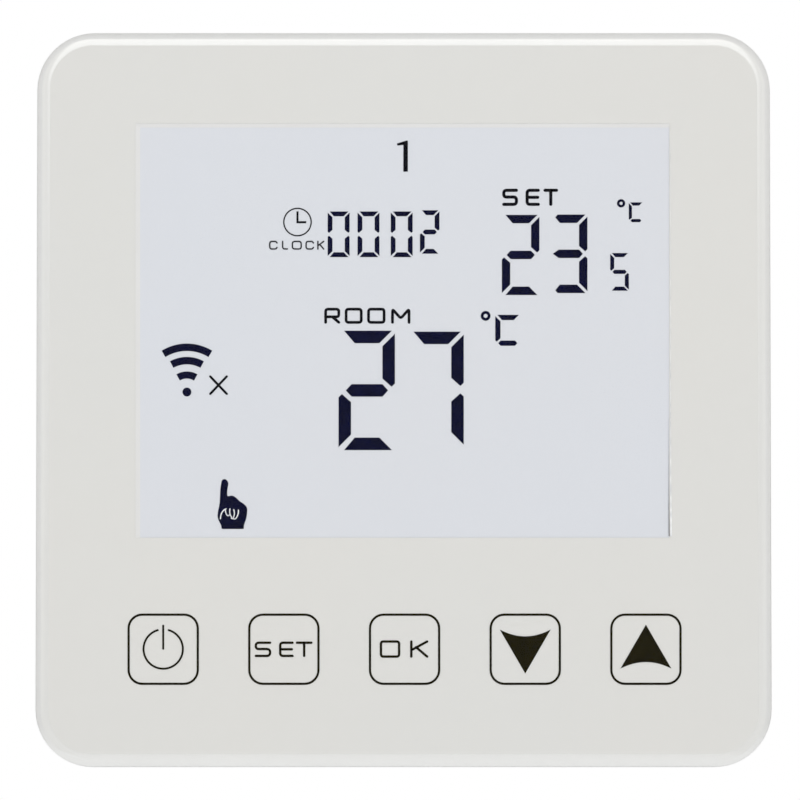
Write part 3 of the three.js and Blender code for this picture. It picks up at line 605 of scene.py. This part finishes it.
def write_digit(art, lit, x0, x1, z0, z1, t, pointed=False):
    """A seven-segment digit in the box; lit names its segments, a at the top, then clockwise."""
    h = 0.25 * t
    mid = (z0 + z1) / 2

    def mirrored(points):
        return [(x0 + x1 - x, z) for x, z in points]

    def upside_down(points):
        return [(x, 2 * mid - z) for x, z in points]

    right_upper = [
        (x1, z1 - h), (x1 - t, z1 - t - h), (x1 - t, mid + 0.95 * t),
        (x1 - 0.27 * t, mid + 0.3 * t), (x1, mid + 0.56 * t),
    ]
    top_end = [(x1 - h, z1), (x1 - t - h, z1 - t)]
    if pointed:
        start = x0 + 0.3 * t
        top = [(start + 0.3 * t, z1), *top_end, (start + 0.55 * t, z1 - t), (start, z1 - 0.33 * t)]
        middle_end = [(x0 + 0.72 * t, mid - t / 2), (x0, mid), (x0 + 0.72 * t, mid + t / 2)]
    else:
        top = [(x0 + 0.45 * t, z1), *top_end, (x0 + 1.3 * t, z1 - t)]
        middle_end = [(x0 + 1.05 * t, mid - t / 2), (x0 + 0.58 * t, mid), (x0 + 1.05 * t, mid + t / 2)]
    middle = [(x1 - t, mid + t / 2), (x1 - 0.55 * t, mid), (x1 - t, mid - t / 2), *middle_end]
    shapes = {
        "a": top,
        "b": right_upper,
        "c": upside_down(right_upper),
        "d": upside_down(top),
        "e": mirrored(upside_down(right_upper)),
        "f": mirrored(right_upper),
        "g": middle,
    }
    for name in lit:
        art.area(shapes[name])


# The segments lit for each character.
SEGMENTS = {"0": "abcdef", "2": "abged", "3": "abgcd", "5": "afgcd", "7": "abc", "C": "afg"}

# ---------------------------------------------------------------- Front panel

panel_low, panel_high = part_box("front_panel")
PANEL_HALF = (panel_high.x - panel_low.x) / 2 + 0.11 * MM  # the sheet covers its shell's edge in sight
PANEL_CORNER = 6.6 * MM
PANEL_CORNER_STEPS = 16
PANEL_FRONT = panel_low.y
PANEL_SHIFT = (0.0, -0.05 * MM)  # the panel sits a hair off centre on its shell
RIM = {"width": 1.6 * MM, "depth": 1.25 * MM, "steps": 14}
BACK_EDGE = 0.1 * MM  # the small flat on the sheet's rear edge
# Planes through the panel, given as depths in front of its rear face, in millimetres.
SHEET = [panel_high.y - depth * MM for depth in (0.06, 0.05, 0.025, 0.015, 0.0)]
CLEAR_BACK, KEY_FRONT, KEY_BACK, WHITE_FRONT, WHITE_BACK = SHEET
# The edges of the window in the print, in millimetres as they line up in sight.
WINDOW_EDGES = {"left": -31.32, "right": 31.04, "bottom": -15.97, "top": 32.44}
# How far in from the print's outline the band of painted rim shading reaches.
PAINTED_RIM_SHADING_WIDTH = 0.55 * MM
PRINT_MARGIN = 0.03 * MM


def panel_outline(inset):
    half = PANEL_HALF - inset
    return rounded_square(half, PANEL_CORNER - inset, PANEL_CORNER_STEPS, PANEL_SHIFT)


def build_panel():
    """The clear sheet: a soft elliptical rim, a flat front and a plain back."""
    bm = bmesh.new()
    loops = []
    for i in range(RIM["steps"] + 1):
        angle = math.pi / 2 * i / RIM["steps"]
        inset = RIM["width"] * (1 - math.sin(angle))
        depth = RIM["depth"] * (1 - math.cos(angle))
        loops.append(loop_of(bm, panel_outline(inset), PANEL_FRONT + depth))
    for inset, y in ((0, CLEAR_BACK - BACK_EDGE), (BACK_EDGE, CLEAR_BACK)):
        loops.append(loop_of(bm, panel_outline(inset), y))
    for first, second in zip(loops, loops[1:]):
        bridge(bm, first, second)
    for face in bm.faces:
        face.material_index = 1
    bm.faces.new(loops[0])
    bm.faces.new(loops[-1])
    bmesh.ops.recalc_face_normals(bm, faces=bm.faces)
    piece = add_object("panel_sheet", from_bmesh("panel_sheet", bm), "front_unit",
                       [FINISH["panel_glass"], PANEL_RIM])
    soft_edges(piece, 0)
    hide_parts("front_panel")


def seen_box(edges, y):
    """The corners of a rectangle given as it lines up in sight at the panel's front."""
    corners = (("right", "top"), ("left", "top"), ("left", "bottom"), ("right", "bottom"))
    return [in_sight(edges[side] * MM, edges[level] * MM, y) for side, level in corners]


def build_white_print():
    """The thin white print behind the clear sheet, open where the display shows."""
    bm = bmesh.new()
    opening = seen_box(WINDOW_EDGES, WHITE_FRONT)
    rings = []
    for y in (WHITE_FRONT, WHITE_BACK):
        outer = loop_of(bm, panel_outline(PRINT_MARGIN), y)
        inner = loop_of(bm, panel_outline(PAINTED_RIM_SHADING_WIDTH), y)
        hole = loop_of(bm, opening, y)
        rings.append((outer, inner, hole))
        before = len(bm.faces)
        # the outer band takes the painted rim shading: darker along the top and sides, lighter below
        bridge(bm, outer, inner)
        bm.faces.ensure_lookup_table()
        for face in bm.faces[before:]:
            face.material_index = 1
        fill_between(bm, inner, hole)
    bridge(bm, rings[0][0], rings[1][0])
    bridge(bm, rings[0][2], rings[1][2])
    bmesh.ops.recalc_face_normals(bm, faces=bm.faces)
    add_object("panel_print", from_bmesh("panel_print", bm), "front_unit", [PRINT_WHITE_AND_PAINTED_LIGHT, PAINTED_RIM_SHADING])


GASKET_EDGES = {"left": -30.79, "right": 31.08, "bottom": -16.01, "top": 31.95}
GASKET_OUTSIDE = {"half_width": 34, "half_height": 28.1, "middle": 6.6}
GASKET_CLEAR = {"print": 0.002 * MM, "display": 0.005 * MM}
GASKET_HIDDEN = 0.4  # how far its front edge lies behind the print, in millimetres


def build_gasket():
    """The white foam frame that closes the gap round the display, seen at two of its edges."""
    bm = bmesh.new()
    width, height, middle = (GASKET_OUTSIDE[key] for key in ("half_width", "half_height", "middle"))
    outer = [(width * sx * MM, (middle + height * sz) * MM)
             for sx, sz in ((1, 1), (-1, 1), (-1, -1), (1, -1))]
    front = WHITE_BACK + GASKET_CLEAR["print"]
    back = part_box("lcd_front_polarizer")[0].y - GASKET_CLEAR["display"]
    hidden = {side: edge + (GASKET_HIDDEN if side in ("right", "top") else -GASKET_HIDDEN)
              for side, edge in WINDOW_EDGES.items()}
    rings = []
    for y, edges in ((front, hidden), (back, GASKET_EDGES)):
        rings.append([loop_of(bm, ring, y) for ring in (outer, seen_box(edges, y))])
    bridge(bm, rings[0][0], rings[0][1])
    bridge(bm, rings[1][0], rings[1][1])
    bridge(bm, rings[0][0], rings[1][0])
    bridge(bm, rings[0][1], rings[1][1])
    bmesh.ops.recalc_face_normals(bm, faces=bm.faces)
    add_object("display_gasket", from_bmesh("display_gasket", bm), "front_unit", [GASKET_FOAM])


EDGE_THICKNESS = 0.02 * MM


def build_window_edge():
    """A painted shadow in the narrow gap beside the display, and a painted highlight on the print's cut edge
    there, where it catches the light.

    Each is a strip from x to the right, given by its width at several heights.
    """
    for name, x, material, widths in (
        # painted shadow: a dark strip where the gap beside the display lies in shade
        ("display_edge_painted_shadow", 30.96, GAP_SHADE,
         ((-15.8, 0.12), (-12, 0.07), (-9.2, 0.035), (-5, 0.012), (-2, 0.004))),
        # painted highlight: a pale strip where the print's cut edge catches the light
        ("cut_edge_painted_highlight", 31.16, CREASE_INK_AND_HIGHLIGHT,
         ((-15.8, 0.17), (-9, 0.08), (0, 0.05), (18, 0.03), (30, 0.02))),
    ):
        art = Artwork()
        near = [(x, z) for z, width in widths]
        far = [(x + width, z) for z, width in widths]
        art.area(near + far[::-1])
        art.piece(name, KEY_FRONT, EDGE_THICKNESS, material)


build_panel()
build_white_print()
build_gasket()
build_window_edge()

# ---------------------------------------------------------------- Prints on the panel

KEY_X = [x * 14.1 + 0.1 for x in (-2, -1, 0, 1, 2)]
KEY_Z = -29.0
KEY_FRAME = {"half": 4.04, "corner": 1.6, "steps": 8, "line": 0.26}
POWER_LINE = 0.23
LETTER_LINE = 0.28


def print_on_panel(name, art):
    art.piece(name, KEY_FRONT, KEY_BACK - KEY_FRONT, KEY_INK)


def key_frame(x):
    art = Artwork()
    outline = rounded_square(KEY_FRAME["half"], KEY_FRAME["corner"], KEY_FRAME["steps"], (x, KEY_Z))
    art.stroke(outline, KEY_FRAME["line"], closed=True)
    return art


def power_sign(x):
    art = key_frame(x)
    centre = (x, KEY_Z + 0.02)
    art.stroke(arc(centre, 2.3, 106, 434, 48), POWER_LINE, round_ends=True)
    art.stroke([(x, KEY_Z + 2.75), (x, KEY_Z + 0.05)], POWER_LINE, round_ends=True)
    return art


def set_sign(x):
    art = key_frame(x)
    top, bottom = KEY_Z + 0.9, KEY_Z - 0.92
    write_letter(art, "S", x - 3.42, x - 1.47, bottom, top, LETTER_LINE, 0.5)
    write_letter(art, "E", x - 0.57, x + 1.15, bottom, top, LETTER_LINE, 0.35)
    write_letter(art, "T", x + 1.39, x + 3.35, bottom, top, LETTER_LINE, 0.2)
    return art


def ok_sign(x):
    art = key_frame(x)
    top, bottom = KEY_Z + 1.04, KEY_Z - 1.0
    write_letter(art, "O", x - 2.9, x - 0.5, bottom, top, LETTER_LINE, 0.3)
    write_letter(art, "K", x + 0.65, x + 2.78, bottom, top, LETTER_LINE, 0.0)
    return art


def arrow_sign(x, up):
    """A pointed arrowhead with a hollow base; its point is below unless it points up."""
    art = key_frame(x)
    if up:
        tip, base, hollow = KEY_Z + 2.86, KEY_Z - 2.26, KEY_Z - 1.5
    else:
        tip, base, hollow = KEY_Z - 2.84, KEY_Z + 2.3, KEY_Z + 1.5
    points = [(x, tip)]
    for i in range(13):
        u = i / 6 - 1
        points.append((x + 2.97 * u, base + (hollow - base) * (1 - u * u)))
    art.area(points)
    return art


print_on_panel("print_key_power", power_sign(KEY_X[0]))
print_on_panel("print_key_set", set_sign(KEY_X[1]))
print_on_panel("print_key_ok", ok_sign(KEY_X[2]))
print_on_panel("print_key_down", arrow_sign(KEY_X[3], False))
print_on_panel("print_key_up", arrow_sign(KEY_X[4], True))

# ---------------------------------------------------------------- Display artwork

FILM_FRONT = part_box("lcd_front_polarizer")[0].y
SHOWN = {"front": FILM_FRONT - 0.03 * MM, "thickness": 0.025 * MM}


def show(name, art, material, ahead=0.0):
    art.piece(name, SHOWN["front"] - ahead, SHOWN["thickness"], material)


def digits(name, text, boxes, t, pointed=()):
    art = Artwork()
    for i, (digit, (x0, x1, z0, z1)) in enumerate(zip(text, boxes)):
        write_digit(art, SEGMENTS[digit], x0, x1, z0, z1, t, pointed=i in pointed)
    show(name, art, SEGMENT_INK)


def word(name, text, spans, z0, z1, stroke, corner, material):
    art = Artwork()
    for letter, (x0, x1) in zip(text, spans):
        write_letter(art, letter, x0, x1, z0, z1, stroke, corner)
    show(name, art, material)


def degree_unit(name, ring, radius, band, x0, x1, z_low, z_top, t):
    """The degree ring and the C made of the upper segments of a digit."""
    art = Artwork()
    art.ring(ring, radius - band / 2, band)
    middle = z_low + t / 2
    write_digit(art, SEGMENTS["C"], x0, x1, 2 * middle - z_top, z_top, t)
    show(name, art, SEGMENT_INK)


def day_number():
    art = Artwork()
    art.area([
        (0.48, 26.8), (0.48, 30.43), (0.3, 30.43), (-0.1, 30.3), (-0.8, 30.08),
        (-0.72, 29.84), (-0.04, 29.93), (-0.04, 26.8),
    ])
    show("lcd_day_number", art, LABEL_INK)


def clock_icon():
    art = Artwork()
    x, z = centre = (-12.41, 20.91)
    art.ring(centre, 1.6, 0.15, steps=44)
    art.stroke([(x, z + 1.25), (x, z - 0.02), (x + 1.02, z - 0.02)], 0.24)
    show("lcd_clock_icon", art, LABEL_INK)


def wireless_icon():
    art = Artwork()
    dot = (-25.33, 1.05)
    art.disc(dot, 0.52)
    for outer, half_angle, band in ((5.66, 31.5, 0.86), (4.1, 29, 0.86), (2.4, 31, 0.82)):
        art.stroke(arc(dot, outer - band / 2, 90 + half_angle, 90 - half_angle, 18), band)
    show("lcd_wireless_icon", art, SEGMENT_INK)


def cross_icon():
    art = Artwork()
    art.stroke([(-22.6, 2.86), (-20.68, 0.84)], 0.27, round_ends=True)
    art.stroke([(-20.68, 2.86), (-22.6, 0.84)], 0.27, round_ends=True)
    show("lcd_cross_icon", art, LABEL_INK)


def hand_icon():
    """A raised forefinger on a closed hand, with light creases for the folded fingers."""
    outline = rounded_path([
        (-21.3, -14.95), (-21.3, -14.6), (-21.78, -13.6), (-21.7, -12.9), (-21.5, -12.0), (-21.42, -10.2),
        (-21.25, -9.2), (-20.85, -9.08), (-20.45, -9.5), (-20.62, -10.4), (-20.62, -11.2), (-20.1, -11.0),
        (-19.6, -11.25), (-19.2, -11.7), (-18.75, -11.95), (-18.25, -12.45), (-18.35, -13.6),
        (-18.7, -14.6), (-18.65, -14.95),
    ], 0.35, closed=True, steps=4)
    art = Artwork()
    art.area(outline)
    show("lcd_hand_icon", art, SEGMENT_INK)
    creases = Artwork()
    paths = [
        [(-21.42, -13.75), (-21.35, -13.2), (-21.05, -12.75), (-20.75, -12.6)],
        [(-20.85, -12.75), (-20.75, -13.2), (-20.55, -13.45), (-20.35, -13.3)],
        [(-20.3, -12.6), (-20.35, -13.1), (-20.1, -13.6)],
        [(-19.85, -12.7), (-19.75, -13.2), (-19.95, -13.75), (-20.15, -13.7)],
        [(-19.3, -12.75), (-19.35, -13.3), (-19.65, -13.8), (-19.95, -13.75)],
    ]
    for path in paths:
        creases.stroke(rounded_path(path, 0.4), 0.13, round_ends=True)
    show("lcd_hand_creases", creases, CREASE_INK_AND_HIGHLIGHT, ahead=0.01 * MM)


day_number()
clock_icon()
word("lcd_clock_word", "CLOCK",
     [(-15.74, -14.72), (-14.23, -13.51), (-13.09, -11.89), (-11.49, -10.47), (-10.11, -9.27)],
     17.68, 18.73, 0.17, 0.3, FAINT_INK)
digits("lcd_time_digits", "0002",
       [(-8.88, -6.33, 16.82, 22.14), (-5.39, -2.84, 16.82, 22.14), (-1.51, 1.04, 16.82, 22.14),
        (1.9, 4.17, 17.22, 22.28)], 0.55)
word("lcd_set_word", "SET", [(11.51, 13.35), (14.24, 15.91), (16.33, 18.04)],
     22.8, 24.8, 0.36, 0.35, LABEL_INK)
digits("lcd_set_digits", "23", [(11.47, 15.85, 12.39, 21.74), (17.42, 21.46, 12.62, 21.78)], 0.97,
       pointed=(1,))
digits("lcd_set_tenths", "5", [(24.13, 26.3, 12.9, 17.28)], 0.46)
degree_unit("lcd_set_unit", (25.4, 23.1), 0.48, 0.29, 26.3, 27.95, 20.9, 23.2, 0.36)
word("lcd_room_word", "ROOM", [(-9.28, -7.42), (-6.89, -4.8), (-4.27, -2.13), (-1.47, 0.78)],
     9.03, 10.89, 0.32, 0.3, LABEL_INK)
digits("lcd_room_digits", "27", [(-7.61, -1.03, -5.73, 8.21), (0.5, 7.01, -5.45, 8.1)], 1.45)
degree_unit("lcd_room_unit", (9.57, 9.95), 0.57, 0.33, 10.7, 13.6, 6.46, 10.06, 0.6)
wireless_icon()
cross_icon()
hand_icon()

# ---------------------------------------------------------------- Housing and fittings

# How wide each piece's edges are rounded, in millimetres.
for node, width in {
    "front_shell": 0.16, "base_tray": 0.2, "mounting_plate": 0.14, "power_box": 0.3, "terminal_block": 0.16,
    "release_latch": 0.2, "lcd_frame": 0.12, "display_board": 0.08, "power_board": 0.08, "header_socket": 0.1,
    "header_pins": 0.05, "controller_chip": 0.1, "wireless_module": 0.1, "coin_cell_holder": 0.08,
    "relay": 0.3, "transformer": 0.25, "film_capacitor": 0.35, "fuse": 0.35, "contact_strip": 0.1,
}.items():
    refined(node, width * MM)

ROUND_PIECES = ["buzzer", "coin_cell", "electrolytic_capacitor", "varistor", "room_sensor"]
ROUND_PIECES += [f"board_screw_{n}" for n in range(1, 5)] + [f"tray_screw_{n}" for n in range(1, 3)]
ROUND_PIECES += [f"terminal_screw_{n}" for n in range(1, 7)]
for node in ROUND_PIECES:
    refined(node, 0.06 * MM, SHARP_ROUND)
for n in range(1, 7):
    refined(f"terminal_clamp_{n}", 0.1 * MM)

# ---------------------------------------------------------------- Floor, light and camera


FLOOR_LEVEL = -0.16


def build_floor():
    bm = bmesh.new()
    bmesh.ops.create_grid(bm, x_segments=8, y_segments=8, size=1.5)
    bmesh.ops.translate(bm, verts=bm.verts, vec=(0, 0, FLOOR_LEVEL))
    floor = bpy.data.objects.new("floor", from_bmesh("floor", bm))
    scene.collection.objects.link(floor)
    look = Look("floor_paper", (0.86, 0.86, 0.855), 0.6)
    look.shade(look.noise(3, 3), (0.84, 0.84, 0.84))
    look.bump(look.noise(400, 2), 0.00005)
    floor.data.materials.append(look.material)


def build_world():
    """A white surround for the camera, and for the light a studio that is brightest above."""
    world = bpy.data.worlds.new("studio")
    scene.world = world
    world.use_nodes = True
    nodes, links = world.node_tree.nodes, world.node_tree.links
    nodes.clear()
    way = nodes.new("ShaderNodeTexCoord").outputs["Generated"]
    split = nodes.new("ShaderNodeSeparateXYZ")
    links.new(way, split.inputs["Vector"])

    def ramp(value, stops):
        node = nodes.new("ShaderNodeFloatCurve")
        curve = node.mapping.curves[0]
        curve.points[0].location = stops[0]
        curve.points[1].location = stops[-1]
        for stop in stops[1:-1]:
            curve.points.new(*stop)
        node.mapping.update()
        links.new(value, node.inputs["Value"])
        return node.outputs["Value"]

    def mapped(value):
        node = nodes.new("ShaderNodeMapRange")
        node.inputs["From Min"].default_value = -1
        links.new(value, node.inputs["Value"])
        return node.outputs["Result"]

    height = ramp(mapped(split.outputs["Z"]), [(0, 0.78), (0.5, 0.93), (0.7, 0.93), (1, 0.87)])
    depth = ramp(mapped(split.outputs["Y"]), [(0, 0.72), (0.05, 0.76), (0.12, 0.97), (0.3, 0.97), (0.5, 0.78),
                                        (0.7, 0.8), (0.9, 0.93), (1, 0.97)])
    product = nodes.new("ShaderNodeMath")
    product.operation = "MULTIPLY"
    links.new(height, product.inputs[0])
    links.new(depth, product.inputs[1])
    studio = nodes.new("ShaderNodeBackground")
    studio.inputs["Color"].default_value = (1, 1, 1, 1)
    links.new(product.outputs["Value"], studio.inputs["Strength"])
    white = nodes.new("ShaderNodeBackground")
    white.inputs["Color"].default_value = (1, 1, 1, 1)
    mix = nodes.new("ShaderNodeMixShader")
    links.new(nodes.new("ShaderNodeLightPath").outputs["Is Camera Ray"], mix.inputs["Fac"])
    links.new(studio.outputs["Background"], mix.inputs[1])
    links.new(white.outputs["Background"], mix.inputs[2])
    links.new(mix.outputs["Shader"], nodes.new("ShaderNodeOutputWorld").inputs["Surface"])


def add_softbox(name, place, target, size, power):
    lamp = bpy.data.lights.new(name, "AREA")
    lamp.shape = "RECTANGLE"
    lamp.size, lamp.size_y = size
    lamp.energy = power
    box = bpy.data.objects.new(name, lamp)
    box.location = place
    box.rotation_euler = (Vector(target) - Vector(place)).to_track_quat("-Z", "Y").to_euler()
    scene.collection.objects.link(box)


def build_camera():
    """In front of the panel and a little below its centre, looking slightly up."""
    sensor = 36.0
    camera = bpy.data.cameras.new("camera")
    camera.sensor_width = sensor
    camera.lens = sensor * SIGHT["distance"] / SIGHT["field"]
    camera.clip_start = 0.01
    view = bpy.data.objects.new("camera", camera)
    view.location = EYE
    view.rotation_euler = (SIGHT["aim"] - EYE).to_track_quat("-Z", "Y").to_euler()
    scene.collection.objects.link(view)
    scene.camera = view


build_floor()
build_world()
add_softbox("softbox_front", (0, -0.82, 0.5), (0, 0, 0), (0.9, 0.78), 2.65)
build_camera()
scene.view_settings.view_transform = "Standard"
